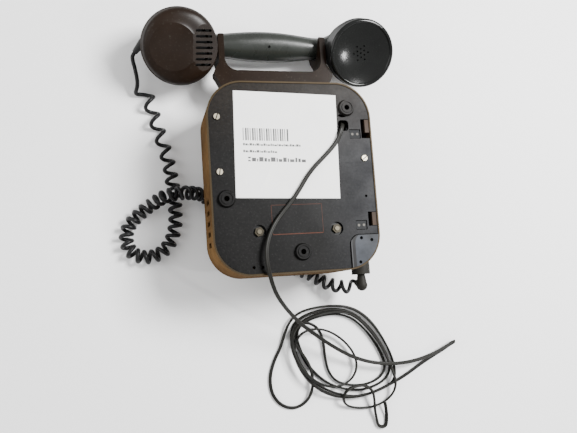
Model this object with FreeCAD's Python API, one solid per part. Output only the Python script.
"""Wall telephone lying on its face, seen from the wall side. Units are millimetres.

Frame: +Z points out of the back plate, +Y to the top of the telephone, +X to the earpiece side.
The work frame has x = y = 0 at the middle of the back plate and z = 0 on the surface below.
The last step moves everything so that the origin is under the middle of the telephone's box.
"""
import FreeCAD
import Part
import math
import os

V = FreeCAD.Vector
X_AXIS, Y_AXIS, Z_AXIS = V(1, 0, 0), V(0, 1, 0), V(0, 0, 1)

# Casing
case_width = 152.8
case_height = 172.8
case_depth = 62.0
case_wall = 1.4
case_corner_radius = 32.8
case_draft_side = 2.3
case_draft_top = 2.3
case_draft_bottom = -0.6
case_front_round = 9.0
vent_width = 4.5
vent_length = 18.0
vent_pitch = 9.6
vent_count = 5
vent_first_y = -18.2
vent_from_back = 26.0

# Back plate and what is on it
plate_thickness = 2.4
plate_gap = 0.2
plate_inset = 0.8
standoff_height = 3.0
standoff_base_radius = 7.8
standoff_top_radius = 6.6
standoff_groove_radius = 5.4
standoff_groove_width = 0.7
screw_hole_radius = 2.4
plate_screw_inset = 7.4
plate_screw_head_radius = 2.7
plate_screw_radius = 1.6
plate_screw_length = 9.0
plate_screw_turns = (70.0, 82.0, 35.0)
plate_post_size = 9.0
plate_post_length = 24.0
stud_recess_radius = 6.0
cable_hole_size = 10.0
cable_hole_x = 49.5
cable_hole_y = 46.0
cover_width = 27.5
cover_height = 29.5
cover_thickness = 3.2
cover_rise = 1.2
cover_gap = 0.7
cover_inner_radius = 9.0
cover_screw_radius = 1.5
latch_width = 12.0
latch_thickness = 4.2
latch_depth = 12.0
latch_slot_width = 4.0
latch_upper_y = 45.5
latch_lower_y = -41.0
latch_upper_slot_extra = 5.0
window_width = 10.8
window_height = 8.6
terminal_gap = 0.5
window_upper = (60.4, 38.1)
window_lower = (59.6, -46.4)
paper_width = 95.6
paper_height = 96.0
paper_thickness = 0.3
paper_centre = (-5.35, 28.0)
paper_turn = -1.9

# Dial
dial_centre_y = -2.0
dial_stand_off = 24.0
dial_ring_radius = 47.0
dial_ring_flare = 4.0
dial_ring_wall = 6.0
dial_ring_lip = 3.0
dial_flange = 3.0
number_plate_thickness = 1.2
number_plate_depth = 9.0
finger_wheel_gap = 2.5
finger_wheel_thickness = 2.5
finger_wheel_depth = 3.2
finger_hole_web = 1.8
finger_hole_margin = 9.5
finger_hole_count = 10
finger_hole_step = 30.0
finger_stop_lead = 38.0
finger_first_angle = -120.0
hub_radius = 15.0
hub_thickness = 1.4
dial_shaft_radius = 3.5
dial_frame_clearance = 2.0
dial_frame_thickness = 2.0
dial_frame_gap = 4.0
dial_mechanism_depth = 17.0
governor_room = 7.2
main_gear_teeth = 54
pinion_teeth = 18
gear_thickness = 2.0
running_clearance = 0.05

# Handset, in its own frame: x along the handle, y across it, z out of the cap faces
handset_tilt = 26.0
handset_centre_x = -1.2
handset_above_case = 41.8
handset_face_drop = 33.0
ear_offset = 89.8
mouth_offset = 89.8
ear_radius = 33.5
ear_cap_height = 14.0
mouth_radius = 35.9
mouth_cap_height = 17.0
mouth_disc_radius = 21.7
mouth_disc_shift = 6.6
mouth_facet_start = 11.2
mouth_facet_drop = 8.0
mouth_slot_count = 7
mouth_slot_pitch = 5.2
mouth_slot_width = 2.4
cap_wall = 2.6
handle_depth = 35.0
handle_half_thickness = 10.5
handle_half_width = 14.8
handle_end_half_width = 11.4
cup_wall = 3.0
cup_depth = 47.0
handle_dimple_radius = 1.4
boot_point = (-33.5, 1.0, -25.0)
boot_tip = (-40.0, -8.0, -28.5)

# Cradle yoke: a moulded fork that rises when the handset is lifted
fork_horn_width = 5.7
fork_outer_half = 54.0
fork_shoulder_half = 59.0
fork_foot_half = 50.0
fork_top_above_front = 17.0
fork_bar_thickness = 12.0
fork_foot_gap = 4.6
fork_gap_bottom = 26.0
fork_tip = 62.6
channel_clearance = 1.0
seat_clearance = 0.3
front_hook_height = 3.0
front_hook_thickness = 4.0
tongue_half_width = 40.0
tongue_thickness = 8.0
yoke_travel = 6.0
slot_clearance = 0.8
guide_rod_radius = 2.0
guide_barrel_radius = 4.6
guide_barrel_length = 10.0
guide_x = 46.0
guide_below_top = 19.4

# Gland and boots of the curly cord
gland_x = 72.0
gland_z = 42.0
gland_radius = 8.9
gland_end_y = -90.0
gland_start_y = -68.0
base_boot_radius = 3.7
base_boot_ball = 5.4
base_boot_elbow = (72.0, -100.6, 42.0)
base_boot_nose = (69.4, -97.5, 34.7)
base_boot_nose_radius = 2.9
boot_root_radius = 3.9
boot_tip_radius = 2.7
boot_root_length = 4.0

# Ringer
gong_spacing = 71.4
gong_y = -48.5
gong_radius = 25.0
gong_height = 10.0
gong_wall = 1.5
gong_drop = 14.0
clapper_ball_radius = 4.0
clapper_length = 40.0

# Curly cord: centre line of its curls from the mouth end, over its own loop, to the gland;
# pitches are (share of the route, space from curl to curl), fitted to the count when built
curly_wire = 3.8
curl_diameter = 14.2
body_gap = 0.3
curl_first_phase = 270.0
curl_last_phase = 0.0
curl_count = 54
curl_pitches = (
    (0.0, 18.5), (0.05, 17.0), (0.10, 17.0), (0.15, 13.0), (0.20, 9.2), (0.31, 9.2), (0.36, 7.8), (0.50, 7.8),
    (0.65, 7.6), (0.90, 8.2), (1.0, 11.5),
)
curl_route = (
    (-120.9, 98.4, 7.6), (-117.3, 85.1, 7.6), (-113, 68.2, 7.6), (-108.8, 53, 7.6), (-104.9, 37.4, 7.6),
    (-102.3, 24.4, 7.6), (-100.8, 11.6, 7.6), (-99.6, 1.1, 7.6), (-99, -8.7, 7.6), (-99.1, -18.4, 7.6),
    (-99.4, -28, 7.6), (-100.9, -36.7, 7.6), (-103.6, -44.2, 7.6), (-107.7, -51.2, 7.6), (-113.6, -56.6, 7.6),
    (-119.7, -59.4, 7.6), (-126.7, -60.5, 7.6), (-134, -59.7, 7.6), (-141, -56, 7.6), (-145.5, -48, 7.6),
    (-146, -38, 7.6), (-142.5, -29.5, 7.6), (-137, -23.5, 8), (-130.8, -17.8, 8), (-125.1, -13.3, 8.5),
    (-118.9, -9.5, 11), (-112.3, -5.9, 17), (-106.7, -4.6, 23), (-100, -3.6, 26.3), (-93, -3, 26.3),
    (-86, -2.5, 22), (-78.6, -2.4, 16), (-72.3, -3.6, 12), (-66.8, -7.8, 9.5), (-62.8, -14.5, 8),
    (-60.6, -23, 7.6), (-56.8, -32.6, 7.6), (-49.6, -42.6, 7.6), (-39.6, -51.8, 7.6), (-26, -61, 7.6),
    (-12, -67, 7.6), (0, -73, 7.6), (11, -78, 7.6), (21, -81.5, 7.6), (30.6, -85.5, 7.6), (39.1, -91.4, 8.5),
    (45.9, -95.9, 11.5), (54.5, -99.6, 17), (62, -101.2, 23), (68.1, -101.2, 25.6),
)
curly_lead_in = (
    (-133.1, 126.1, 20), (-131.1, 118.5, 17.8), (-129.4, 109.3, 15.2), (-129.6, 102.9, 12), (-131.9, 98.3, 4.6),
)
curly_ends = (4.3, 3.2, 3.8, 3.0)

# Line cord: hand-set run and tangle, each point with its level in the pile
line_cord_diameter = 3.1
line_cord_floor = 1.6
line_cord_level = 3.6
line_cord_start = (48.0, 39.5, 71.0)
line_cord_over_plate = (
    (48.0, 47.6, 71.0), (49.2, 48.6, 78.8), (49.0, 47.6, 86.0), (46.4, 41.4, 88.7), (42.4, 32.3, 87.6),
    (37, 25.4, 87.3), (28, 16.7, 87.3), (18.6, 8.2, 87.3), (10, -1.6, 87.3), (2, -13.8, 87.3),
    (-7.4, -25.4, 87.4), (-15.7, -34, 87.8), (-22.7, -42.8, 88.6), (-28, -52.3, 89.8), (-31.3, -61.9, 91),
    (-32.3, -71.3, 91.8), (-31.3, -80.8, 90.8), (-28.4, -91.2, 86.6), (-22.7, -102.8, 77), (-13.4, -113.6, 65),
    (-1.8, -124.2, 51), (11.6, -134.9, 38), (26.4, -145.1, 28), (41.9, -155.7, 20.6), (57.2, -165.2, 15.6),
)
line_cord_run = (
    (72, -172.8, 3.15), (88.2, -178.4, 3), (106.3, -181.5, 3), (125.5, -182.1, 2.7), (144.1, -180, 2.1),
    (161, -175.6, 2), (174.5, -170.1, 2), (185, -165.6, 2), (185.6, -167, 0), (175.3, -172.8, 0),
    (166, -176.8, 0), (156.5, -181.2, 0), (145.5, -186.4, 0), (131, -194.3, 0), (117, -200.5, 0),
    (102.2, -205.7, 0),
)
line_cord_tangle = (
    (84, -210.5, 0), (70, -211, 0), (55, -207.5, 0), (40, -201, 0), (27, -191, 0), (17, -177, 0),
    (11, -161, 0), (8, -147, 0), (12, -134, 0), (24, -126.5, 0), (40, -123, 0), (60, -122.5, 0),
    (78, -129, 0), (93, -144, 0), (104, -162, 0), (111, -179, 0), (110.5, -191, 0),
    (103, -199, 0), (90, -203.8, 0), (74, -205.5, 0), (58, -202, 0), (43.5, -195.5, 0), (31.5, -185.5, 0),
    (21.5, -172.5, 0), (16, -158, 0), (13.5, -146, 0), (17.5, -136.5, 0), (28, -130.8, 0), (42, -127.7, 0),
    (59, -127.2, 0), (75, -133.3, 0), (89, -147.5, 0), (99.5, -164, 0), (106, -180, 0), (104.5, -190, 0),
    (97, -196.5, 0), (86, -200, 0), (74, -200.5, 0), (62, -198.3, 0), (51, -193.5, 0), (44.5, -184, 0),
    (42, -170, 0), (41.5, -154, 0.2), (37, -141, 0.8), (27.5, -134, 1.1), (16.5, -133.5, 1), (9.5, -140, 1),
    (10.5, -152, 1), (18, -164, 1), (25, -176, 1), (27, -190, 1.08), (25, -203, 0.6), (18, -212, 0.2),
    (6, -216, 0), (-7, -211, 0), (-15, -199, 0), (-16, -184, 0), (-11, -169, 0), (-3, -156, 0),
    (1.5, -143, 0.3), (7, -131, 1), (18, -122.5, 1.1), (33, -119.5, 1), (50, -118.8, 0.6), (67, -120.4, 0.2),
    (82, -126.5, 0), (95, -138.5, 0), (105, -154, 0), (112.5, -170, 0), (116.5, -186, 0.1), (114, -198, 1),
    (105, -204.5, 1), (92, -208, 1.1), (77, -210.5, 1.1), (62, -210.5, 1.1), (47, -207.5, 1.2),
    (33, -200.5, 2.05), (20.5, -189.5, 2.1), (12, -175, 1.6), (8.5, -160, 1.75), (12.5, -147, 2.3),
    (23, -140.5, 2.2), (37, -140.5, 2.1), (51, -146, 1.3), (63, -155.5, 1), (72, -168, 1), (74.5, -181, 1),
    (69, -192, 1.1), (57, -198.5, 1.3), (42.5, -198.3, 2.4), (28, -191.8, 3.2), (16, -180.5, 3.0),
    (8, -165.5, 2.9), (5.5, -150, 2.6), (11, -137.5, 2.3), (23, -129.5, 2.2), (39, -125.8, 2.1),
    (57, -124.8, 1.3), (74, -129.6, 1.1), (88, -142.5, 1.1), (99.5, -159, 1.1), (107.5, -175, 1.1),
    (112, -190, 1.7), (113.5, -202, 2.2), (111, -212, 1), (103.5, -219, 0.2), (92, -223, 0),
    (79, -223.5, 0), (66.5, -221.5, 0), (57.5, -216.5, 1.3), (55, -208.5, 2.4), (60, -202.5, 2.4),
    (70, -199.5, 2.2), (80, -200, 2.1), (87, -206, 2.5), (89, -215.5, 1.7), (89.5, -226, 1),
    (92, -236.5, 0.2), (93.5, -243.5, 0), (101.5, -244.5, 0), (103, -236.5, 0), (102.5, -228, 0.6),
)
line_cord_end = (100.5, -219.5, 1.35)

# Levels and half sizes that follow from the sizes above
front_z = dial_stand_off
back_z = front_z + case_depth
plate_face_z = back_z - plate_inset
plate_under_z = plate_face_z - plate_thickness
plate_half_x = case_width / 2 - case_wall - plate_gap
plate_half_y = case_height / 2 - case_wall - plate_gap
plate_corner = case_corner_radius - case_wall - plate_gap
wall_z = plate_face_z + standoff_height
paper_top_z = plate_face_z + paper_thickness
tongue_z = front_z + fork_top_above_front - fork_bar_thickness / 2
dial_ring_foot_radius = dial_ring_radius + dial_ring_flare
dial_ring_inner = dial_ring_radius - dial_ring_wall
finger_wheel_radius = dial_ring_inner - finger_wheel_gap
finger_hole_circle = finger_wheel_radius - finger_hole_margin
finger_hole_radius = finger_hole_circle * math.sin(math.radians(finger_hole_step / 2)) - finger_hole_web / 2
dial_frame_radius = dial_ring_inner - dial_ring_lip - dial_frame_clearance
governor_x = dial_frame_radius - governor_room
gear_module = 2 * governor_x / (main_gear_teeth + pinion_teeth)
fork_inner_half = fork_outer_half - fork_horn_width

shapes = {}


def box(low, high):
    """A block between two corners."""
    size = [b - a for a, b in zip(low, high)]
    return Part.makeBox(size[0], size[1], size[2], V(*low))


def rod(radius, start, end):
    """A cylinder between two points."""
    start, end = V(*start), V(*end)
    return Part.makeCylinder(radius, (end - start).Length, start, end - start)


def cone(r0, r1, start, end):
    """A truncated cone between two points."""
    start, end = V(*start), V(*end)
    return Part.makeCone(r0, r1, (end - start).Length, start, end - start)


def tube_between(outer, inner, start, end):
    """A plain sleeve between two points."""
    return rod(outer, start, end).cut(rod(inner, start, end))


def fuse(*solids):
    """One solid from overlapping ones."""
    return solids[0].multiFuse(list(solids[1:])).removeSplitter()


def outline(half_x, half_y, radius, z, shift_y=0.0):
    """A rectangle with rounded corners at a height, as eight edges."""
    x, y, r = half_x, half_y, radius
    k = r * (1 - math.sqrt(0.5))
    corners = ((1, 1), (-1, 1), (-1, -1), (1, -1))
    edges = []
    for i, (sx, sy) in enumerate(corners):
        first = V(sx * x, sy * (y - r) + shift_y, z)
        last = V(sx * (x - r), sy * y + shift_y, z)
        middle = V(sx * (x - k), sy * (y - k) + shift_y, z)
        if sx * sy < 0:
            first, last = last, first
        edges.append(Part.Arc(first, middle, last).toShape())
        nx, ny = corners[(i + 1) % 4]
        if nx == -sx:
            after = V(nx * (x - r), ny * y + shift_y, z)
        else:
            after = V(nx * x, ny * (y - r) + shift_y, z)
        edges.append(Part.LineSegment(last, after).toShape())
    return Part.Wire(edges)


def slab(half_x, half_y, radius, z0, z1):
    """A flat plate with rounded corners."""
    face = Part.Face(outline(half_x, half_y, radius, z0))
    return face.extrude(V(0, 0, z1 - z0))


def polygon(points):
    """A closed wire through points."""
    vectors = [V(*p) for p in points]
    return Part.makePolygon(vectors + vectors[:1])


def turned(points, centre, axis=Z_AXIS):
    """A closed profile turned round an axis; (r, h) is a corner, (r, h, r, h) an arc through to."""
    edges = []
    last = V(points[0][0], 0, points[0][1])
    for item in [*points[1:], points[0]]:
        end = V(item[-2], 0, item[-1])
        if len(item) == 4:
            edges.append(Part.Arc(last, V(item[0], 0, item[1]), end).toShape())
        elif (end - last).Length > 1e-6:
            edges.append(Part.LineSegment(last, end).toShape())
        last = end
    solid = Part.Face(Part.Wire(edges)).revolve(V(0, 0, 0), Z_AXIS, 360)
    solid.Placement = FreeCAD.Placement(V(*centre), FreeCAD.Rotation(Z_AXIS, axis))
    return solid


def round_edges(solid, radius, pick):
    """Fillets the edges that pick accepts."""
    edges = [e for e in solid.Edges if pick(e)]
    return solid.makeFillet(radius, edges)


def at_height(z, tolerance=0.01):
    """Picks edges that lie wholly at one height."""
    return lambda e: abs(e.BoundBox.ZMin - z) < tolerance and abs(e.BoundBox.ZMax - z) < tolerance


def group(solids):
    """Separate solids that share a node."""
    return Part.makeCompound(list(solids))


def bezier_knots(points):
    """A degree-two curve with clamped ends that has the points as its poles."""
    curve = Part.BSplineCurve()
    poles = [V(*p) for p in points]
    mults = [3] + [1] * (len(poles) - 3) + [3]
    knots = list(range(len(mults)))
    curve.buildFromPolesMultsKnots(poles, mults, knots, False, 2)
    return curve


def arc_between(start, corner, end):
    """The arc that leaves start toward corner and reaches end coming from corner."""
    middle = (start + end) * 0.5
    half = (end - start).Length / 2
    rise = corner - middle
    turn = 2 * math.atan2(rise.Length, half)
    if rise.Length < 1e-7:
        return Part.LineSegment(start, end).toShape()
    top = middle + rise.normalize() * (half * math.tan(turn / 4))
    return Part.Arc(start, top, end).toShape()


def biarc(start, start_way, end, end_way):
    """Two tangent arcs from one point and direction to another."""
    chord = end - start
    ways = start_way + end_way
    lead = 2 * (1 - start_way.dot(end_way))
    reach = chord.dot(ways)
    if lead < 1e-9:
        size = chord.dot(chord) / (4 * chord.dot(end_way))
    else:
        size = (math.sqrt(reach * reach + lead * chord.dot(chord)) - reach) / lead
    first = start + start_way * size
    last = end - end_way * size
    joint = (first + last) * 0.5
    return [arc_between(start, first, joint), arc_between(joint, last, end)]


def rounded_runs(points):
    """Straight runs through hand-set points, each corner turned by an arc; prints the least radius."""
    route = [V(*p) for p in points]
    edges = []
    last = route[0]
    least = None
    for before, corner, after in zip(route, route[1:], route[2:]):
        run = 0.45 * min((corner - before).Length, (after - corner).Length)
        a = corner + (before - corner).normalize() * run
        b = corner + (after - corner).normalize() * run
        turn = math.pi - (before - corner).getAngle(after - corner)
        radius = run / math.tan(turn / 2)
        if least is None or radius < least[0]:
            least = (radius, tuple(round(c) for c in corner))
        edges.append(Part.LineSegment(last, a).toShape())
        edges.append(arc_between(a, corner, b))
        last = b
    edges.append(Part.LineSegment(last, route[-1]).toShape())
    return edges, least


def least_gap(edges, diameter):
    """The least space between a tube and another part of itself, measured on points a step apart."""
    step = 1.2
    points = []
    for edge in edges:
        count = max(1, round(edge.Length / step))
        first, last = edge.ParameterRange
        for k in range(count):
            points.append(edge.valueAt(first + (last - first) * k / count))
    cell = 2.5 * diameter
    apart = int(4.2 * diameter / step)
    cells = {}
    best = (1e9, None, None)
    for i, p in enumerate(points):
        key = (int(p.x // cell), int(p.y // cell), int(p.z // cell))
        for dx in (-1, 0, 1):
            for dy in (-1, 0, 1):
                for dz in (-1, 0, 1):
                    for j in cells.get((key[0] + dx, key[1] + dy, key[2] + dz), ()):
                        if i - j > apart:
                            gap = (p - points[j]).Length
                            if gap < best[0]:
                                best = (gap, p, points[j])
        cells.setdefault(key, []).append(i)
    return best[0] - diameter, best[1], best[2]


def tube(edges, radius):
    """A round tube along edges that follow one another."""
    path = Part.Wire(edges)
    start = edges[0].valueAt(edges[0].ParameterRange[0])
    way = edges[0].tangentAt(edges[0].ParameterRange[0])
    ring = Part.Wire([Part.Circle(start, way, radius).toShape()])
    return path.makePipeShell([ring], True, False)


handset_origin = V(handset_centre_x, case_height / 2 + handset_above_case, back_z - handset_face_drop)
handset_placement = FreeCAD.Placement(handset_origin, FreeCAD.Rotation(X_AXIS, handset_tilt))


def in_handset(solid):
    """Moves a solid from the handset's own frame to its place in the cradle."""
    moved = solid.copy()
    moved.Placement = handset_placement.multiply(moved.Placement)
    return moved


def handset_point(x, across, out):
    """A point of the handset's own frame, in the work frame."""
    return handset_placement.multVec(V(x, across, out))


def case_form(shrink, z_back, z_front):
    """The casing's tapered block, each side drawn in by shrink."""
    front_half_x = case_width / 2 - case_draft_side - shrink
    front_half_y = case_height / 2 - (case_draft_top + case_draft_bottom) / 2 - shrink
    shift = (case_draft_bottom - case_draft_top) / 2
    radius = case_corner_radius - shrink
    back = outline(case_width / 2 - shrink, case_height / 2 - shrink, radius, z_back)
    front = outline(front_half_x, front_half_y, radius - case_draft_side / 2, z_front, shift)
    return Part.makeLoft([back, front], True, True)


def latch_centres():
    """Middles of the two side latches on the right edge."""
    return [(plate_half_x - latch_thickness / 2, y) for y in (latch_upper_y, latch_lower_y)]


def plate_screw_centres():
    """Two screws at the left edge and one at the right."""
    x = plate_half_x - plate_screw_inset
    return [(-x, 53.7), (-x, 4.8), (x, 15.2)]


def standoff_centres():
    """The three stand-offs that keep the plate off the wall."""
    return [
        (-plate_half_x + 11.8, -19.0),
        (2.1, -plate_half_y + 16.9),
        (plate_half_x - 21.5, plate_half_y - 22.4),
    ]


def gong_centres():
    """The two gongs, either side of the clapper."""
    return [(-gong_spacing / 2, gong_y), (gong_spacing / 2, gong_y)]


def build_casing():
    """The painted shell: tapered, open at the back, with vents, dial hole and cradle slot."""
    outer = case_form(0.0, back_z, front_z)
    outer = round_edges(outer, case_front_round, at_height(front_z))
    inner = case_form(case_wall, back_z + 0.01, front_z + case_wall)
    inner = round_edges(inner, case_front_round - case_wall, at_height(front_z + case_wall))
    shell = outer.cut(inner)
    posts = []
    for x, y in plate_screw_centres():
        side = math.copysign(1, x)
        reach = case_width / 2 * side
        near = x - side * plate_post_size / 2
        low = (min(near, reach), y - plate_post_size / 2, plate_under_z - plate_post_length)
        high = (max(near, reach), y + plate_post_size / 2, plate_under_z)
        posts.append(box(low, high).common(outer))
    shell = fuse(shell, *posts)
    for x, y in plate_screw_centres():
        shell = shell.cut(rod(plate_screw_radius + 0.1, (x, y, plate_under_z - 12), (x, y, back_z)))
    dial_hole = dial_ring_radius - dial_ring_wall + 1.0
    shell = shell.cut(rod(dial_hole, (0, dial_centre_y, front_z - 1), (0, dial_centre_y, front_z + 12)))
    for i in range(vent_count):
        y = vent_first_y - i * vent_pitch
        z = back_z - vent_from_back
        low = (-case_width / 2 - 1, y - vent_width / 2, z - vent_length / 2)
        high = (-case_width / 2 + 9, y + vent_width / 2, z + vent_length / 2)
        shell = shell.cut(box(low, high))
    wall_y = case_height / 2 - case_wall / 2
    rise = yoke_travel * math.sin(math.radians(handset_tilt))
    low = (-tongue_half_width - slot_clearance, wall_y - 8, tongue_z - tongue_thickness / 2 - slot_clearance)
    top = tongue_z + tongue_thickness / 2 + rise + slot_clearance
    shell = shell.cut(box(low, (tongue_half_width + slot_clearance, wall_y + 4, top)))
    gland = rod(gland_radius + 0.1, (gland_x, gland_start_y + 0.1, gland_z), (gland_x, gland_end_y, gland_z))
    shell = shell.cut(gland)
    for r, y, z in dial_screw_places():
        shell = shell.cut(rod(1.4, (r, y, front_z - 1), (r, y, front_z + 6)))
    shapes["casing"] = shell


def dial_screw_places():
    """Three screws hold the dial ring's flange to the casing, from inside."""
    radius = dial_ring_radius - 2.0
    places = []
    for k in range(3):
        angle = math.radians(30 + 120 * k)
        places.append((radius * math.cos(angle), dial_centre_y + radius * math.sin(angle), front_z))
    return places


def build_back_plate():
    """The dark plate that closes the back, with every opening that shows."""
    plate = slab(plate_half_x, plate_half_y, plate_corner, plate_under_z, plate_face_z)
    under, over = plate_under_z - 1, plate_face_z + 1
    corner_x, corner_y = plate_half_x - cover_width - cover_gap, -plate_half_y + cover_height + cover_gap
    notch = box((corner_x, -case_height, under), (case_width, corner_y, over))
    notch = round_edges(
        notch,
        cover_inner_radius + cover_gap,
        lambda e: abs(e.BoundBox.XMax - corner_x) < 0.01 and abs(e.BoundBox.YMin - corner_y) < 0.01,
    )
    cuts = [notch]
    for x, y in standoff_centres():
        cuts.append(rod(screw_hole_radius, (x, y, under), (x, y, over)))
    for x, y in plate_screw_centres():
        cuts.append(rod(plate_screw_radius + 0.1, (x, y, under), (x, y, over)))
    for x, y in gong_centres():
        cuts.append(rod(stud_recess_radius, (x, y, under), (x, y, over)))
    half = cable_hole_size / 2
    hole = box((cable_hole_x - half, cable_hole_y - half, under), (cable_hole_x + half, cable_hole_y + half, over))
    hole = round_edges(hole, 3.0, lambda e: e.BoundBox.ZLength > 2)
    cuts.append(hole)
    lens_y = cable_hole_y + half + 4.5
    lens = rod(8.0, (cable_hole_x, lens_y + 6.2, under), (cable_hole_x, lens_y + 6.2, over))
    lens = lens.common(rod(8.0, (cable_hole_x, lens_y - 6.2, under), (cable_hole_x, lens_y - 6.2, over)))
    cuts.append(lens)
    for (_, y), extra in zip(latch_centres(), (latch_upper_slot_extra, 0.0)):
        inner_x = plate_half_x - latch_thickness - latch_slot_width
        low = (inner_x, y - latch_width / 2 - 0.5 - extra, under)
        cuts.append(box(low, (case_width / 2, y + latch_width / 2 + 0.5, over)))
    for x, y in (window_upper, window_lower):
        low = (x - window_width / 2, y - window_height / 2, under)
        cuts.append(box(low, (x + window_width / 2, y + window_height / 2, over)))
    for x, y, r in ((-42.5, -79.2, 1.4), (-34.7, -79.4, 1.4), (66.3, -19.9, 1.2)):
        cuts.append(rod(r, (x, y, under), (x, y, over)))
    for cutter in cuts:
        plate = plate.cut(cutter)
    shapes["back_plate"] = plate

    standoffs = []
    for x, y in standoff_centres():
        body = cone(standoff_base_radius, standoff_top_radius, (x, y, plate_face_z), (x, y, wall_z))
        body = body.cut(rod(screw_hole_radius, (x, y, plate_face_z - 1), (x, y, wall_z + 1)))
        inner = standoff_groove_radius - standoff_groove_width
        low, high = (x, y, wall_z - standoff_groove_width), (x, y, wall_z + 1)
        standoffs.append(body.cut(tube_between(standoff_groove_radius, inner, low, high)))
    shapes["wall_standoffs"] = group(standoffs)

    screws = []
    for (x, y), turn in zip(plate_screw_centres(), plate_screw_turns):
        screws.append(plate_screw(x, y, turn))
    shapes["plate_screws"] = group(screws)


def plate_screw(x, y, turn):
    """A cheese-head screw seated on the plate, head up, its slot turned by an angle."""
    radius, height = plate_screw_head_radius, plate_screw_head_radius * 0.5
    head = rod(radius, (x, y, plate_face_z), (x, y, plate_face_z + height))
    slot = box((-radius - 1, -radius * 0.17, height * 0.4), (radius + 1, radius * 0.17, height + 1))
    slot.Placement = FreeCAD.Placement(V(x, y, plate_face_z), FreeCAD.Rotation(Z_AXIS, turn))
    low, high = (x, y, plate_face_z - plate_screw_length), (x, y, plate_face_z + 0.2)
    return fuse(head.cut(slot), rod(plate_screw_radius, low, high))


def build_corner_cover():
    """The small separate cover over the cord entry corner, with three screws sunk in it."""
    blank = slab(plate_half_x, plate_half_y, plate_corner, plate_under_z, plate_face_z + cover_rise)
    corner_x, corner_y = plate_half_x - cover_width, -plate_half_y + cover_height
    keep = box((corner_x, -case_height, 0), (case_width, corner_y, back_z + 20))
    keep = round_edges(
        keep,
        cover_inner_radius,
        lambda e: abs(e.BoundBox.XMax - corner_x) < 0.01 and abs(e.BoundBox.YMin - corner_y) < 0.01,
    )
    top = plate_face_z + cover_rise
    cover = blank.common(keep)
    low = (corner_x - 1, -case_height, plate_under_z - 1)
    cover = cover.cut(box(low, (case_width, case_height, top - cover_thickness)))
    holes = [(corner_x + dx, corner_y - dy) for dx, dy in ((10.5, 2.9), (20.4, 5.0), (8.0, 24.6))]
    screws = []
    for x, y in holes:
        cover = cover.cut(rod(cover_screw_radius, (x, y, top - cover_thickness - 1), (x, y, top + 1)))
        shank_low = top - cover_thickness - 4.0
        screws.append(rod(cover_screw_radius - 0.05, (x, y, shank_low), (x, y, top - 1.3)))
    shapes["corner_cover"] = cover
    shapes["corner_cover_screws"] = group(screws)
    block_top = top - cover_thickness
    block = slab(plate_half_x - 1.0, plate_half_y - 1.0, plate_corner - 1.0, block_top - 7.0, block_top)
    block = block.common(box((corner_x + 4.5, -case_height, 0), (case_width, corner_y - 4, back_z)))
    for x, y in holes:
        block = block.cut(rod(cover_screw_radius, (x, y, block_top - 4.2), (x, y, block_top + 1)))
    shapes["corner_block"] = block


def build_latches_and_terminals():
    """Side latches of the casing, and the terminal blocks seen through the two windows."""
    latches = []
    for x, y in latch_centres():
        outer_x = plate_half_x + plate_gap - 0.1
        low = (x - latch_thickness / 2, y - latch_width / 2, plate_face_z - latch_depth)
        latches.append(box(low, (outer_x, y + latch_width / 2, plate_face_z - 0.2)))
    inner = case_form(case_wall, back_z + 0.01, front_z + case_wall)
    shapes["side_latches"] = group([latch.common(inner) for latch in latches])
    blocks, screws = [], []
    for x, y in (window_upper, window_lower):
        half_x, half_y = window_width / 2 - terminal_gap, window_height / 2 - terminal_gap
        base = box((x - half_x - 2.6, y - half_y - 2.6, plate_under_z - 8), (x + 6.2, y + half_y + 2.6, plate_under_z))
        pad = box((x - half_x, y - half_y, plate_under_z - 1), (x + half_x, y + half_y, plate_face_z - 0.9))
        block = fuse(base, pad)
        for dx in (-2.4, 2.4):
            hole = rod(1.2, (x + dx, y, plate_under_z - 5), (x + dx, y, plate_face_z))
            block = block.cut(hole)
            screws.append(rod(1.2, (x + dx, y, plate_under_z - 5), (x + dx, y, plate_face_z - 0.7)))
        blocks.append(block)
    shapes["terminal_blocks"] = group(blocks)
    shapes["terminal_screws"] = group(screws)


def build_paper():
    """The loose square of paper on the plate, under the line cord."""
    sheet = box((-paper_width / 2, -paper_height / 2, 0), (paper_width / 2, paper_height / 2, paper_thickness))
    turn = FreeCAD.Rotation(Z_AXIS, paper_turn)
    sheet.Placement = FreeCAD.Placement(V(paper_centre[0], paper_centre[1], plate_face_z), turn)
    shapes["paper_tag"] = sheet


def finger_hole_places():
    """Middles of the finger holes, evenly spaced round part of the wheel."""
    places = []
    for k in range(finger_hole_count):
        angle = math.radians(finger_first_angle + finger_hole_step * k)
        x = finger_hole_circle * math.cos(angle)
        places.append((x, dial_centre_y + finger_hole_circle * math.sin(angle)))
    return places


def gear(teeth, z0, z1, centre, phase, bore):
    """A plain spur wheel with trapezoid teeth, thinned so that a pair runs free."""
    pitch_radius = gear_module * teeth / 2
    root, tip = pitch_radius - 1.15 * gear_module, pitch_radius + 0.8 * gear_module
    step = 2 * math.pi / teeth
    points = []
    for k in range(teeth):
        middle = phase + k * step
        for radius, offset in ((root, -0.27), (tip, -0.12), (tip, 0.12), (root, 0.27)):
            angle = middle + offset * step
            points.append((centre[0] + radius * math.cos(angle), centre[1] + radius * math.sin(angle), z0))
    wheel = Part.Face(polygon(points)).extrude(V(0, 0, z1 - z0))
    return wheel.cut(rod(bore, (centre[0], centre[1], z0 - 1), (centre[0], centre[1], z1 + 1)))


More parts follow.
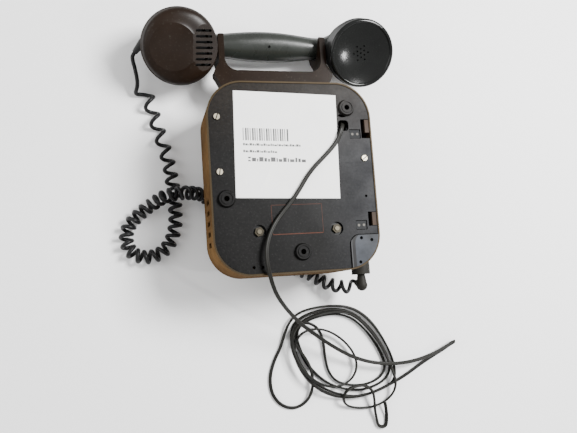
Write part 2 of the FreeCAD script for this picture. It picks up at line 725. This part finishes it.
def build_dial():
    """The dial: bezel ring that the telephone lies on, wheel, stop, and mechanism behind."""
    cx, cy = 0.0, dial_centre_y
    inner = dial_ring_inner
    ring = turned(
        [
            (inner, 0.6),
            (inner + 1.2, 0.0),
            (dial_ring_radius - 2.0, 0.0),
            (dial_ring_radius, 2.0),
            (dial_ring_foot_radius, front_z),
            (inner + 0.6, front_z),
            (inner + 0.6, front_z + case_wall + 1.0),
            (inner - dial_ring_lip, front_z + case_wall + 1.0),
            (inner - dial_ring_lip, number_plate_depth + number_plate_thickness + 1.0),
            (inner, number_plate_depth + number_plate_thickness + 1.0),
        ],
        (cx, cy, 0),
    )
    for x, y, z in dial_screw_places():
        ring = ring.cut(rod(1.25, (x, y, z - 7), (x, y, z + 1)))
    shapes["dial_ring"] = ring
    screws = []
    for x, y, z in dial_screw_places():
        seat = front_z + case_wall
        head = rod(2.6, (x, y, seat), (x, y, seat + 1.6))
        screws.append(fuse(head, rod(1.2, (x, y, z - 6.5), (x, y, seat + 0.1))))
    shapes["dial_screws"] = group(screws)

    np0, np1 = number_plate_depth, number_plate_depth + number_plate_thickness
    plate = tube_between(inner - 0.4, dial_shaft_radius + 1.5, (cx, cy, np0), (cx, cy, np1))
    shapes["number_plate"] = plate

    fw0, fw1 = finger_wheel_depth, finger_wheel_depth + finger_wheel_thickness
    wheel = rod(finger_wheel_radius, (cx, cy, fw0), (cx, cy, fw1))
    for x, y in finger_hole_places():
        wheel = wheel.cut(rod(finger_hole_radius, (x, y, fw0 - 1), (x, y, fw1 + 1)))
        chamfer = cone(finger_hole_radius + 0.9, finger_hole_radius, (x, y, fw0 - 0.001), (x, y, fw0 + 0.9))
        wheel = wheel.cut(chamfer)
    wheel = wheel.cut(rod(dial_shaft_radius, (cx, cy, fw0 - 1), (cx, cy, fw1 + 1)))
    shapes["finger_wheel"] = wheel
    ring_low = fw0 - hub_thickness
    shapes["hub_ring"] = tube_between(hub_radius, hub_radius - 2.5, (cx, cy, ring_low), (cx, cy, fw0))
    shapes["hub_card"] = rod(hub_radius - 2.6, (cx, cy, fw0 - 0.8), (cx, cy, fw0))

    frame0 = np1 + dial_frame_gap
    frame1 = frame0 + dial_frame_thickness
    back0 = frame1 + dial_mechanism_depth
    frame = rod(dial_frame_radius, (cx, cy, frame0), (cx, cy, frame1))
    pin_x = governor_x
    arm = box((cx - 6, cy - 7, back0), (cx + pin_x + 7, cy + 7, back0 + dial_frame_thickness))
    pillars = []
    for angle in (100, 180, 260):
        x = cx + (dial_frame_radius - 5) * math.cos(math.radians(angle))
        y = cy + (dial_frame_radius - 5) * math.sin(math.radians(angle))
        pillars.append(rod(2.6, (x, y, frame1 - 0.2), (x, y, back0 + dial_frame_thickness)))
        low = (min(x, cx) - 2.5, min(y, cy) - 2.5, back0)
        high = (max(x, cx) + 2.5, max(y, cy) + 2.5, back0 + dial_frame_thickness)
        if angle == 180:
            pillars.append(box(low, high))
        else:
            pillars.append(box((cx - 9, low[1], back0), (cx + 3, high[1], back0 + dial_frame_thickness)))
    spacer = tube_between(dial_frame_radius, dial_frame_radius - 3, (cx, cy, np1), (cx, cy, frame0 + 0.1))
    frame = fuse(frame, arm, spacer, *pillars)
    shaft_hole = dial_shaft_radius + running_clearance
    frame = frame.cut(rod(shaft_hole, (cx, cy, np1 - 1), (cx, cy, back0 + 20)))
    frame = frame.cut(rod(1.5 + running_clearance, (cx + pin_x, cy, np1 - 1), (cx + pin_x, cy, back0 + 20)))
    shapes["dial_frame"] = frame
    shaft_top = back0 + dial_frame_thickness + 1.5
    shaft = rod(dial_shaft_radius, (cx, cy, fw0), (cx, cy, shaft_top))
    shapes["dial_shaft"] = shaft
    gear0 = frame1 + 2.0
    gear1 = gear0 + gear_thickness
    wheel = gear(main_gear_teeth, gear0, gear1, (cx, cy), 0.0, dial_shaft_radius)
    shapes["main_gear"] = wheel
    phase = math.pi + math.pi / pinion_teeth
    pinion = gear(pinion_teeth, gear0, gear1, (cx + pin_x, cy), phase, 1.5)
    shapes["governor_pinion"] = pinion
    spindle = rod(1.5, (cx + pin_x, cy, frame0), (cx + pin_x, cy, back0 + dial_frame_thickness))
    shapes["governor_spindle"] = spindle
    cup0 = gear1 + 1.5
    cup = tube_between(7.0, 1.5, (cx + pin_x, cy, cup0), (cx + pin_x, cy, cup0 + 7.0))
    shapes["governor_weights"] = cup
    spring0 = gear1 + 1.2
    turns = [(dial_shaft_radius + 1.6 + 2.4 * k, dial_shaft_radius + 2.4 + 2.4 * k) for k in range(4)]
    coils = [tube_between(r1, r0, (cx, cy, spring0), (cx, cy, spring0 + 6.0)) for r0, r1 in turns]
    bridge = box((cx - turns[-1][1] + 0.2, cy - 0.4, spring0), (cx - turns[0][0], cy + 0.4, spring0 + 6.0))
    post = rod(1.2, (cx - turns[-1][1] - 0.6, cy, spring0), (cx - turns[-1][1] - 0.6, cy, back0))
    shapes["mainspring"] = fuse(*coils, bridge, post)

    stop_angle = math.radians(finger_first_angle - finger_stop_lead)
    reach_in, reach_out = finger_hole_circle - 4.0, inner + 2.0
    bar = box((reach_in, -1.6, 1.3), (reach_out, 1.6, fw0 - 0.5))
    bar.Placement = FreeCAD.Placement(V(cx, cy, 0), FreeCAD.Rotation(Z_AXIS, math.degrees(stop_angle)))
    shapes["finger_stop"] = bar
    seat = box((inner - 0.1, -1.7, 1.2), (reach_out + 0.1, 1.7, fw0 - 0.4))
    seat.Placement = bar.Placement
    shapes["dial_ring"] = shapes["dial_ring"].cut(seat)

    low_y = cy + dial_frame_radius - 10.0
    block = box((cx + 8, low_y, frame1), (cx + 15, low_y + 6.0, frame1 + 12))
    leaves = [
        box((cx - 2, low_y + 0.6 + 2.2 * k, frame1 + 4), (cx + 8, low_y + 1.0 + 2.2 * k, frame1 + 9))
        for k in range(3)
    ]
    shapes["dial_contacts"] = group([block, *leaves])


def cup(radius, mouth, offset):
    """A handset end: a round cup whose mouth takes a cap and whose floor is domed."""
    r, floor = radius, -cup_depth
    body = turned(
        [
            (0, floor),
            (r * 0.45, floor),
            (r * 0.80, floor + 9.0, r - 1.5, floor + 25.5),
            (r, -mouth - 1.5),
            (r, -mouth - 0.2),
            (r - cup_wall, -mouth - 0.2),
            (r - cup_wall, -mouth + 5),
            (0, -mouth + 5),
        ],
        (offset, 0, 0),
    )
    cavity = turned(
        [
            (0, floor + 10),
            (r - 4.2 * cup_wall, floor + 14),
            (r - 2.2 * cup_wall, floor + 24),
            (r - 2 * cup_wall, -mouth + 6),
            (0, -mouth + 6),
        ],
        (offset, 0, 0),
    )
    return body, cavity


def handle_section(x, half_width, half_thickness):
    """An oval section across the handle."""
    wide = half_width > half_thickness
    major, minor = max(half_width, half_thickness), min(half_width, half_thickness)
    oval = Part.Ellipse(V(0, 0, 0), major, minor)
    if wide:
        turn = FreeCAD.Rotation(V(0, 1, 0), V(0, 0, 1), V(1, 0, 0), "XYZ")
    else:
        turn = FreeCAD.Rotation(V(0, 0, 1), V(0, -1, 0), V(1, 0, 0), "XYZ")
    wire = Part.Wire([oval.toShape()])
    wire.Placement = FreeCAD.Placement(V(x, 0, -handle_depth), turn)
    return wire


def build_handle():
    """The moulded handle and its two cups, with a small hole and the cord's outlet."""
    ear_cup, ear_cavity = cup(ear_radius - 1.0, ear_cap_height, ear_offset)
    mouth_cup, mouth_cavity = cup(mouth_radius - 1.0, mouth_cap_height, -mouth_offset)
    neck_in, neck_out = fork_inner_half - 5.3, fork_outer_half + 3.0
    stations = (
        (9.8 - mouth_offset, 16.5, 11.5),
        (-neck_out - 9.5, 14.5, 11.2),
        (-neck_out, handle_end_half_width, handle_half_thickness),
        (-neck_in, 12.0, handle_half_thickness),
        (-8.0, handle_half_width, handle_half_thickness),
        (24.0, 13.6, handle_half_thickness),
        (neck_in, handle_end_half_width, handle_half_thickness),
        (neck_out, handle_end_half_width, handle_half_thickness),
        (neck_out + 9.5, 15.4, 11.2),
        (ear_offset - 9.8, 16.5, 11.5),
    )
    handle = Part.makeLoft([handle_section(*station) for station in stations], True, False)
    body = fuse(handle, ear_cup, mouth_cup).cut(ear_cavity).cut(mouth_cavity)
    top = handle_half_thickness - handle_depth
    body = body.cut(rod(handle_dimple_radius, (0, 1.5, top - 3), (0, 1.5, top + 2)))
    outlet = boot_solid()
    shapes["handset_body"] = in_handset(body.cut(outlet))


def boot_axis():
    """Root and tip of the handset boot, in the handset's own frame."""
    x, y, z = boot_point
    start = V(-mouth_offset + x, y, z)
    x, y, z = boot_tip
    return start, V(-mouth_offset + x, y, z)


def boot_solid():
    """The tapered rubber boot on the cord at the mouth end."""
    start, tip = boot_axis()
    along = (tip - start).normalize()
    root = start - along * boot_root_length
    return fuse(
        cone(boot_root_radius, boot_tip_radius, tuple(start), tuple(tip)),
        rod(boot_root_radius, tuple(root), tuple(start + along * 0.1)),
    )


def build_ear_end():
    """The dished ear cap with its holes, and the capsule behind it."""
    r, h = ear_radius, ear_cap_height
    ear_cap = turned(
        [
            (r, -h),
            (r, -3.4),
            (r - 0.7, -0.9, r - 2.4, 0),
            (r - 3.3, -0.3, r - 4.2, -1.2),
            (r * 0.48, -3.8, 0, -4.6),
            (0, -4.6 - cap_wall),
            (r - cup_wall - 1.8, -2.0 - cap_wall),
            (r - cup_wall - 0.7, -h + 5.2),
            (r - cup_wall - 0.7, -h),
        ],
        (ear_offset, 0, 0),
    )
    holes = [(0.0, 0.0)]
    for k in range(6):
        for radius, start in ((4.2, 38.5), (7.6, 8.0)):
            angle = math.radians(start + 60 * k)
            holes.append((radius * math.cos(angle), radius * math.sin(angle)))
    for x, y in holes:
        ear_cap = ear_cap.cut(rod(0.9, (ear_offset + x, y, -10), (ear_offset + x, y, 2)))
    shapes["ear_cap"] = in_handset(ear_cap)
    capsule = rod(ear_radius - 8.2, (ear_offset, 0, -h - 8), (ear_offset, 0, -8.5))
    magnet = rod(ear_radius - 16, (ear_offset, 0, -h - 13), (ear_offset, 0, -h - 7.9))
    shapes["receiver_capsule"] = in_handset(fuse(capsule, magnet))


def ring_wire(radius, x, z):
    """A circle across the handset's z axis."""
    return Part.Wire([Part.Circle(V(x, 0, z), Z_AXIS, radius).toShape()])


def mouth_dome(shrink, drop):
    """The mouth cap's lopsided dome: a round skirt that closes in to a disc set to one side."""
    r, h = mouth_radius - shrink, mouth_cap_height
    disc, shift = mouth_disc_radius - shrink, mouth_disc_shift
    sections = [
        ring_wire(r, -mouth_offset, -h),
        ring_wire(r, -mouth_offset, -h + 7.5 - drop),
        ring_wire(r - 1.6, -mouth_offset - 0.10 * shift, -5.6 - drop),
        ring_wire((r + disc) / 2 + 1.2, -mouth_offset - 0.52 * shift, -2.4 - drop),
        ring_wire(disc, -mouth_offset - shift, -drop),
    ]
    skirt = Part.makeLoft(sections[:2], True, True)
    crown = Part.makeLoft(sections[1:], True, False)
    return fuse(skirt, crown)


def build_mouth_end():
    """The mouth cap with its slotted facet, and the capsule behind it."""
    start = -mouth_offset + mouth_facet_start
    run = mouth_radius - mouth_facet_start
    slope = math.atan2(mouth_facet_drop, run)
    facet = Part.makeBox(60, 100, 20, V(0, -50, 0))
    facet.Placement = FreeCAD.Placement(V(start, 0, 0), FreeCAD.Rotation(Y_AXIS, math.degrees(slope)))
    cap = mouth_dome(0.0, 0.0).cut(facet)
    inner_facet = facet.copy()
    inner_facet.translate(V(0, 0, -cap_wall))
    inside = mouth_dome(cup_wall + 0.7, cap_wall).cut(inner_facet)
    cap = cap.cut(inside)
    for k in range(mouth_slot_count):
        step = k - (mouth_slot_count - 1) / 2
        y = step * mouth_slot_pitch
        x0, x1 = start + 2.6, start + 19.6 - 0.5 * abs(step)
        half = mouth_slot_width / 2
        slot = fuse(
            box((x0 + half, y - half, -16), (x1 - half, y + half, 2)),
            rod(half, (x0 + half, y, -16), (x0 + half, y, 2)),
            rod(half, (x1 - half, y, -16), (x1 - half, y, 2)),
        )
        cap = cap.cut(slot)
    shapes["mouth_cap"] = in_handset(cap)
    capsule = rod(mouth_radius - 9.5, (-mouth_offset, 0, -mouth_cap_height - 9), (-mouth_offset, 0, -12.0))
    shapes["transmitter_capsule"] = in_handset(capsule)


def build_handset():
    """Handle, caps, capsules and the boot where the curly cord goes in."""
    build_handle()
    build_ear_end()
    build_mouth_end()
    start, tip = boot_axis()
    cord = rod(curly_wire / 2, tuple(tip), tuple(tip + (tip - start)))
    shapes["handset_boot"] = in_handset(boot_solid().cut(cord))


def fork_plan():
    """The fork seen from the wall side: two horns on a bar that widens, then narrows to a foot."""
    top_y, foot_y = case_height / 2 + fork_tip, case_height / 2 + fork_foot_gap
    shoulder_y = case_height / 2 + fork_gap_bottom - 1.0
    half = [
        (fork_foot_half, foot_y),
        (fork_outer_half + 0.6, foot_y + 8.0),
        (fork_shoulder_half, shoulder_y - 4.0),
        (fork_shoulder_half, shoulder_y),
        (fork_outer_half, shoulder_y + 8.5),
        (fork_outer_half, top_y),
    ]
    points = [(x, y, 0) for x, y in half] + [(-x, y, 0) for x, y in reversed(half)]
    plan = Part.Face(polygon(points)).extrude(V(0, 0, front_z + fork_top_above_front))
    tip = round_edges(plan, 2.6, lambda e: e.BoundBox.ZLength > 5 and e.BoundBox.YMin > top_y - 0.1)
    gap_y = case_height / 2 + fork_gap_bottom
    gap = box((-fork_inner_half, gap_y, -1), (fork_inner_half, top_y + 5, case_depth))
    gap = round_edges(gap, 12.0, lambda e: e.BoundBox.ZLength > 5 and abs(e.BoundBox.YMin - gap_y) < 0.01)
    return tip.cut(gap)


def fork_side():
    """The fork seen along the handle: a bar, then horns that go round under the handset."""
    top_z = front_z + fork_top_above_front
    foot_y = case_height / 2 + fork_foot_gap
    tip_y = case_height / 2 + fork_tip
    under = -(handle_depth + handle_half_thickness + channel_clearance + front_hook_thickness)
    hook = handset_point(0, front_hook_height, under)
    low = handset_point(0, -handle_end_half_width, under)
    heel = handset_point(0, -handle_end_half_width - 5.6, under + 6.5)
    points = [
        (0, foot_y, top_z - fork_bar_thickness),
        (0, foot_y, top_z),
        (0, tip_y - 1.0, top_z),
        (0, tip_y + 2.1, top_z - 3.0),
        (0, hook.y, hook.z),
        (0, low.y, low.z),
        (0, heel.y, heel.z),
        (0, foot_y + 21.0, top_z - fork_bar_thickness - 3.0),
        (0, foot_y + 13.0, top_z - fork_bar_thickness),
    ]
    side = Part.Face(polygon(points)).extrude(V(2 * fork_shoulder_half + 10, 0, 0))
    side.translate(V(-fork_shoulder_half - 5, 0, 0))
    corners = [low, heel]

    def is_corner(edge):
        box_ = edge.BoundBox
        near = [abs(box_.YMin - c.y) < 0.1 and abs(box_.ZMin - c.z) < 0.1 for c in corners]
        return box_.XLength > 50 and any(near)

    return round_edges(side, 3.0, is_corner)


def handle_channel():
    """The space between the horns and the hooks that the handle lies in."""
    back = -(handle_depth - handle_half_thickness - channel_clearance)
    front = -(handle_depth + handle_half_thickness + channel_clearance)
    seat = -(handle_end_half_width + seat_clearance)
    block = box((-70, seat, front), (70, 60, back))
    block = round_edges(block, 7.0, lambda e: e.BoundBox.XLength > 50 and abs(e.BoundBox.YMin - seat) < 0.01)
    return in_handset(block)


def guide_axis():
    """Middle and direction of the right-hand guide rod."""
    middle = V(guide_x, case_height / 2 - guide_below_top, tongue_z)
    return middle, handset_placement.Rotation.multVec(Y_AXIS)


def build_yoke():
    """The fork, its tongue into the case, and two guide barrels on rods along the lift."""
    fork = fork_plan().common(fork_side()).cut(handle_channel())
    y0, y1 = case_height / 2 - guide_below_top - 5.0, case_height / 2 + fork_foot_gap + 6.0
    z0, z1 = tongue_z - tongue_thickness / 2, tongue_z + tongue_thickness / 2
    tongue = box((-tongue_half_width, y0, z0), (tongue_half_width, y1, z1))
    middle, lift = guide_axis()
    half = guide_barrel_length / 2
    rods, barrels, bores = [], [], []
    for side in (-1, 1):
        at = V(side * middle.x, middle.y, middle.z)
        low, high = at - lift * half, at + lift * half
        barrels.append(rod(guide_barrel_radius, tuple(low), tuple(high)))
        lug = (min(side * 38.0, side * middle.x), middle.y - 3.5, z0 + 1.0)
        barrels.append(box(lug, (max(side * 38.0, side * middle.x), middle.y + 3.5, z1 - 1.0)))
        bores.append(rod(guide_rod_radius + running_clearance, tuple(low - lift * 9), tuple(high + lift * 9)))
        rods.append(rod(guide_rod_radius, tuple(low - lift * 6.2), tuple(high + lift * (yoke_travel + 4.8))))
    finger = box((-16, y0 - 8, z0 + 2), (-8, y0 + 1, z1 - 1))
    yoke = fuse(fork, tongue, finger, *barrels)
    for bore in bores:
        yoke = yoke.cut(bore)
    shapes["cradle_yoke"] = yoke
    shapes["yoke_guide_rods"] = group(rods)
    brackets = []
    for side in (-1, 1):
        at = V(side * middle.x, middle.y, middle.z)
        for reach in (-half - 4.4, half + yoke_travel + 3.4):
            end = at + lift * reach
            low = (end.x - 4.0, end.y - 1.6, end.z - 3.6)
            leg = box(low, (end.x + 4.0, end.y + 1.6, plate_under_z))
            brackets.append(leg.cut(rod(guide_rod_radius, tuple(end - lift * 9), tuple(end + lift * 9))))
    shapes["yoke_brackets"] = group(brackets)
    block_y, block_z = y0 - 4.0, z1 + 10.0
    block = box((-17, block_y - 16, block_z), (-7, block_y - 6, plate_under_z))
    leaves = []
    for k in range(4):
        z = block_z + 4.0 + 3.2 * k
        leaves.append(box((-15.5, block_y - 15, z), (-8.5, block_y + 6, z + 0.5)))
    lifter = rod(1.4, (-12, block_y, z1 + 2.4), (-12, block_y, block_z + 4.1))
    shapes["hook_switch_springs"] = group([fuse(leaves[0], lifter), *leaves[1:]])
    for leaf in leaves:
        block = block.cut(leaf)
    shapes["hook_switch_block"] = block


def build_gland():
    """The gland in the casing's corner and the rubber boot bent down from it."""
    end = (gland_x, gland_end_y, gland_z)
    shapes["base_gland"] = rod(gland_radius, (gland_x, gland_start_y, gland_z), end)
    neck = cone(base_boot_radius, base_boot_ball - 0.1, end, base_boot_elbow)
    ball = Part.makeSphere(base_boot_ball, V(*base_boot_elbow))
    nose = cone(base_boot_ball - 1.0, base_boot_nose_radius, base_boot_elbow, base_boot_nose)
    shapes["base_boot"] = fuse(neck, ball, nose)


def curl_places():
    """Places and directions along the helix, one each quarter turn."""
    curve = bezier_knots(curl_route)
    total = curve.length()
    radius = (curl_diameter - curly_wire) / 2
    quarters = 4 * curl_count + round((curl_last_phase - curl_first_phase) / 90) % 4
    steps = 2000
    marks = [0.0]
    for k in range(steps):
        part = (k + 0.5) / steps
        marks.append(marks[-1] + 1 / curl_pitch_at(part))
    scale = quarters / marks[-1]
    places = []
    k = 0
    for q in range(quarters + 1):
        while k < steps - 1 and marks[k + 1] * scale < q:
            k += 1
        inner = (q / scale - marks[k]) / (marks[k + 1] - marks[k])
        part = min(1.0, (k + inner) / steps)
        at = curve.parameterAtDistance(part * total, curve.FirstParameter)
        rate = math.pi / 2 * scale * steps / (curl_pitch_at(part) * total)
        places.append(curl_place(curve, at, q, radius, rate))
    return places


def curl_pitch_at(part):
    """How far apart the curls are, as a share, at a part of the route."""
    for (a, first), (b, last) in zip(curl_pitches, curl_pitches[1:]):
        if part <= b:
            return first + (last - first) * (part - a) / (b - a)
    return curl_pitches[-1][1]


def curl_frame(curve, at):
    """Middle of the helix and its three directions at a parameter."""
    way = curve.tangent(at)[0].normalize()
    side = Z_AXIS.cross(way).normalize()
    return curve.value(at), way, side, way.cross(side)


def curl_place(curve, at, quarter, radius, rate):
    """One point of the helix and its direction there."""
    middle, way, side, up = curl_frame(curve, at)
    phase = math.radians(curl_first_phase + 90 * quarter)
    out = side * math.cos(phase) + up * math.sin(phase)
    round_way = up * math.cos(phase) - side * math.sin(phase)
    along = way + round_way * (radius * rate)
    return middle + out * radius, along.normalize()


def build_curly_cord():
    """The curly cord from the handset boot to the gland's boot, as one tube."""
    places = curl_places()
    start, tip = boot_axis()
    way = handset_placement.Rotation.multVec((tip - start).normalize())
    root = handset_placement.multVec(tip) + way * body_gap
    first, first_way = places[0]
    last, last_way = places[-1]
    nose = V(*base_boot_nose)
    nose_way = (V(*base_boot_elbow) - nose).normalize()
    a, b, c, d = curly_ends
    lead_in = [tuple(root), tuple(root + way * a), *curly_lead_in, tuple(first - first_way * b), tuple(first)]
    lead_out = [tuple(last), tuple(last + last_way * c), tuple(nose - nose_way * d), tuple(nose)]
    edges, least_in = rounded_runs(lead_in)
    for (a, a_way), (b, b_way) in zip(places, places[1:]):
        edges += biarc(a, a_way, b, b_way)
    more, least_out = rounded_runs(lead_out)
    edges += more
    print("curly cord: curls", curl_count, "lead radii", least_in, least_out)
    print("curly cord: length", round(sum(e.Length for e in edges)), "gap", least_gap(edges, curly_wire))
    shapes["curly_cord"] = tube(edges, curly_wire / 2)


def at_level(point):
    """A hand-set point of the pile, its level turned into a height."""
    x, y, level = point
    return (x, y, line_cord_floor + line_cord_level * level)


def build_line_cord():
    """The line cord: over the plate, down to the surface, and its loose tangle."""
    over = [line_cord_start, *line_cord_over_plate]
    out = [at_level(p) for p in line_cord_run]
    tangle = [at_level(p) for p in (*line_cord_tangle, line_cord_end)]
    joint = tuple((a + b) / 2 for a, b in zip(out[-1], tangle[0]))
    run_edges, run_least = rounded_runs([*over, *out, joint])
    coil_edges, coil_least = rounded_runs([joint, *tangle])
    print("line cord: least radii", run_least, coil_least)
    print("line cord: lengths", [round(sum(e.Length for e in part)) for part in (run_edges, coil_edges)])
    print("line cord: gap", least_gap(run_edges + coil_edges, line_cord_diameter))
    shapes["line_cord_run"] = tube(run_edges, line_cord_diameter / 2)
    shapes["line_cord_coil"] = tube(coil_edges, line_cord_diameter / 2)


def build_ringer():
    """Two gongs on posts, the coils, and the clapper between."""
    gong_top = plate_under_z - gong_drop
    gongs, posts, nuts, screws = [], [], [], []
    for x, y in gong_centres():
        r, t, h = gong_radius, gong_wall, gong_height
        shell = turned(
            [
                (3.0, 0),
                (r * 0.45, -0.8),
                (r * 0.8, -0.35 * h),
                (r, -h),
                (r - t, -h),
                (r * 0.8 - t, -0.35 * h - 0.6 * t),
                (r * 0.45, -0.8 - t),
                (3.0, -t),
            ],
            (x, y, gong_top),
        )
        gongs.append(shell)
        post = fuse(
            rod(4.5, (x, y, gong_top), (x, y, plate_under_z)),
            rod(9.0, (x, y, plate_under_z - 1.6), (x, y, plate_under_z)),
            rod(2.0, (x, y, plate_under_z - 1), (x, y, plate_face_z + 0.6)),
            rod(2.9, (x, y, gong_top - gong_wall - 0.5), (x, y, gong_top + 1)),
        )
        posts.append(post.cut(rod(1.5, (x, y, gong_top - 10), (x, y, gong_top + 7))))
        hexagon = []
        for k in range(6):
            angle = math.radians(60 * k + 12)
            hexagon.append((x + 4.3 * math.cos(angle), y + 4.3 * math.sin(angle), plate_under_z))
        nut = Part.Face(polygon(hexagon)).extrude(V(0, 0, 2.2))
        nuts.append(nut.cut(rod(2.05, (x, y, plate_under_z - 1), (x, y, back_z))))
        head = rod(4.0, (x, y, gong_top - gong_wall - 2.3), (x, y, gong_top - gong_wall - 0.5))
        screws.append(fuse(head, rod(1.45, (x, y, gong_top - 2.5), (x, y, gong_top + 6))))
    shapes["gong_left"], shapes["gong_right"] = gongs
    shapes["gong_posts"] = group(posts)
    shapes["stud_nuts"] = group(nuts)
    shapes["gong_screws"] = group(screws)

    pivot_y_ringer = gong_y + clapper_length
    z_mid = gong_top - gong_height + 2.5
    coils, cores = [], []
    base_z = plate_under_z - 3.0
    for x in (-14.0, 14.0):
        y = pivot_y_ringer + 22.0
        low, high = z_mid + 2.0, base_z
        bobbin = fuse(
            rod(9.0, (x, y, low + 1.5), (x, y, high - 1.5)),
            rod(11.0, (x, y, low), (x, y, low + 1.5)),
            rod(11.0, (x, y, high - 1.5), (x, y, high)),
        )
        coils.append(bobbin.cut(rod(3.5, (x, y, low - 1), (x, y, high + 1))))
        cores.append(rod(3.5, (x, y, low - 1.0), (x, y, high)))
    shapes["ringer_coils"] = group(coils)
    yoke = box((-26, pivot_y_ringer + 10, base_z), (26, pivot_y_ringer + 34, plate_under_z))
    carrier = box((-5, pivot_y_ringer - 6, base_z), (5, pivot_y_ringer + 10.5, plate_under_z))
    pin_post = rod(2.5, (0, pivot_y_ringer, z_mid + 4.5), (0, pivot_y_ringer, base_z + 0.5))
    pin = rod(1.2, (0, pivot_y_ringer, z_mid - 3.5), (0, pivot_y_ringer, z_mid + 5))
    shapes["ringer_frame"] = fuse(yoke, carrier, pin_post, pin, *cores)
    hub = rod(3.2, (0, pivot_y_ringer, z_mid - 2), (0, pivot_y_ringer, z_mid + 4))
    armature = box((-22, pivot_y_ringer + 8, z_mid - 2.2), (22, pivot_y_ringer + 26, z_mid))
    neck = box((-3, pivot_y_ringer, z_mid - 2.2), (3, pivot_y_ringer + 9, z_mid))
    hole = rod(1.2 + running_clearance, (0, pivot_y_ringer, z_mid - 9), (0, pivot_y_ringer, z_mid + 9))
    shapes["ringer_armature"] = fuse(hub, armature, neck).cut(hole)
    wire = rod(0.9, (0, gong_y + 1, z_mid), (0, pivot_y_ringer - 3.21, z_mid))
    ball = Part.makeSphere(clapper_ball_radius, V(0, gong_y, z_mid))
    shapes["clapper"] = fuse(wire, ball)


def build_electrics():
    """The transformer, capacitor and terminal board on the plate's inner side."""
    z1 = plate_under_z
    core = box((-59.4, 22, z1 - 22), (-33.4, 54, z1))
    core = core.cut(box((-60, 28, z1 - 18), (-33, 34, z1 - 4))).cut(box((-60, 42, z1 - 18), (-33, 48, z1 - 4)))
    shapes["transformer_core"] = core
    around = box((-62.4, 28.1, z1 - 17.9), (-30.4, 47.9, z1 - 4.1))
    shapes["transformer_winding"] = around.cut(box((-59.5, 33.9, z1 - 18), (-33.3, 42.1, z1 - 4)))
    shapes["capacitor"] = round_edges(
        box((-28.5, 30, z1 - 15), (-18.5, 62, z1)), 1.2, lambda e: e.BoundBox.ZMax < z1 - 0.1
    )
    board = box((24, 42, z1 - 5), (42, 66, z1))
    screws = []
    for k in range(4):
        for x in (28, 38):
            y = 46 + 5.4 * k
            screws.append(rod(1.8, (x, y, z1 - 7.5), (x, y, z1 - 5)))
    shapes["terminal_board"] = board
    shapes["terminal_board_screws"] = group(screws)
    x, y, z = line_cord_start
    clamp = box((x - 4, y - 8, z - 4), (x + 4, y, z + 4))
    leg = box((x - 4, y - 6, z + 3), (x - 1, y - 2, z1))
    shapes["line_cord_clamp"] = fuse(clamp, leg)


build_casing()
build_back_plate()
build_corner_cover()
build_latches_and_terminals()
build_paper()
build_dial()
build_handset()
build_yoke()
build_gland()
build_curly_cord()
build_line_cord()
build_ringer()
build_electrics()

cords = ("curly_cord", "line_cord_run", "line_cord_coil")
whole = group([shape for name, shape in shapes.items() if name not in cords])
bounds = whole.optimalBoundingBox(False)
origin = V(bounds.Center.x, bounds.Center.y, bounds.ZMin)
print("origin", tuple(round(c, 3) for c in origin))

os.makedirs("parts", exist_ok=True)
for name, shape in shapes.items():
    shape.translate(-origin)
    print(name, len(shape.Solids), shape.isValid(), round(shape.Volume, 1))
    shape.exportStep(f"parts/{name}.step")
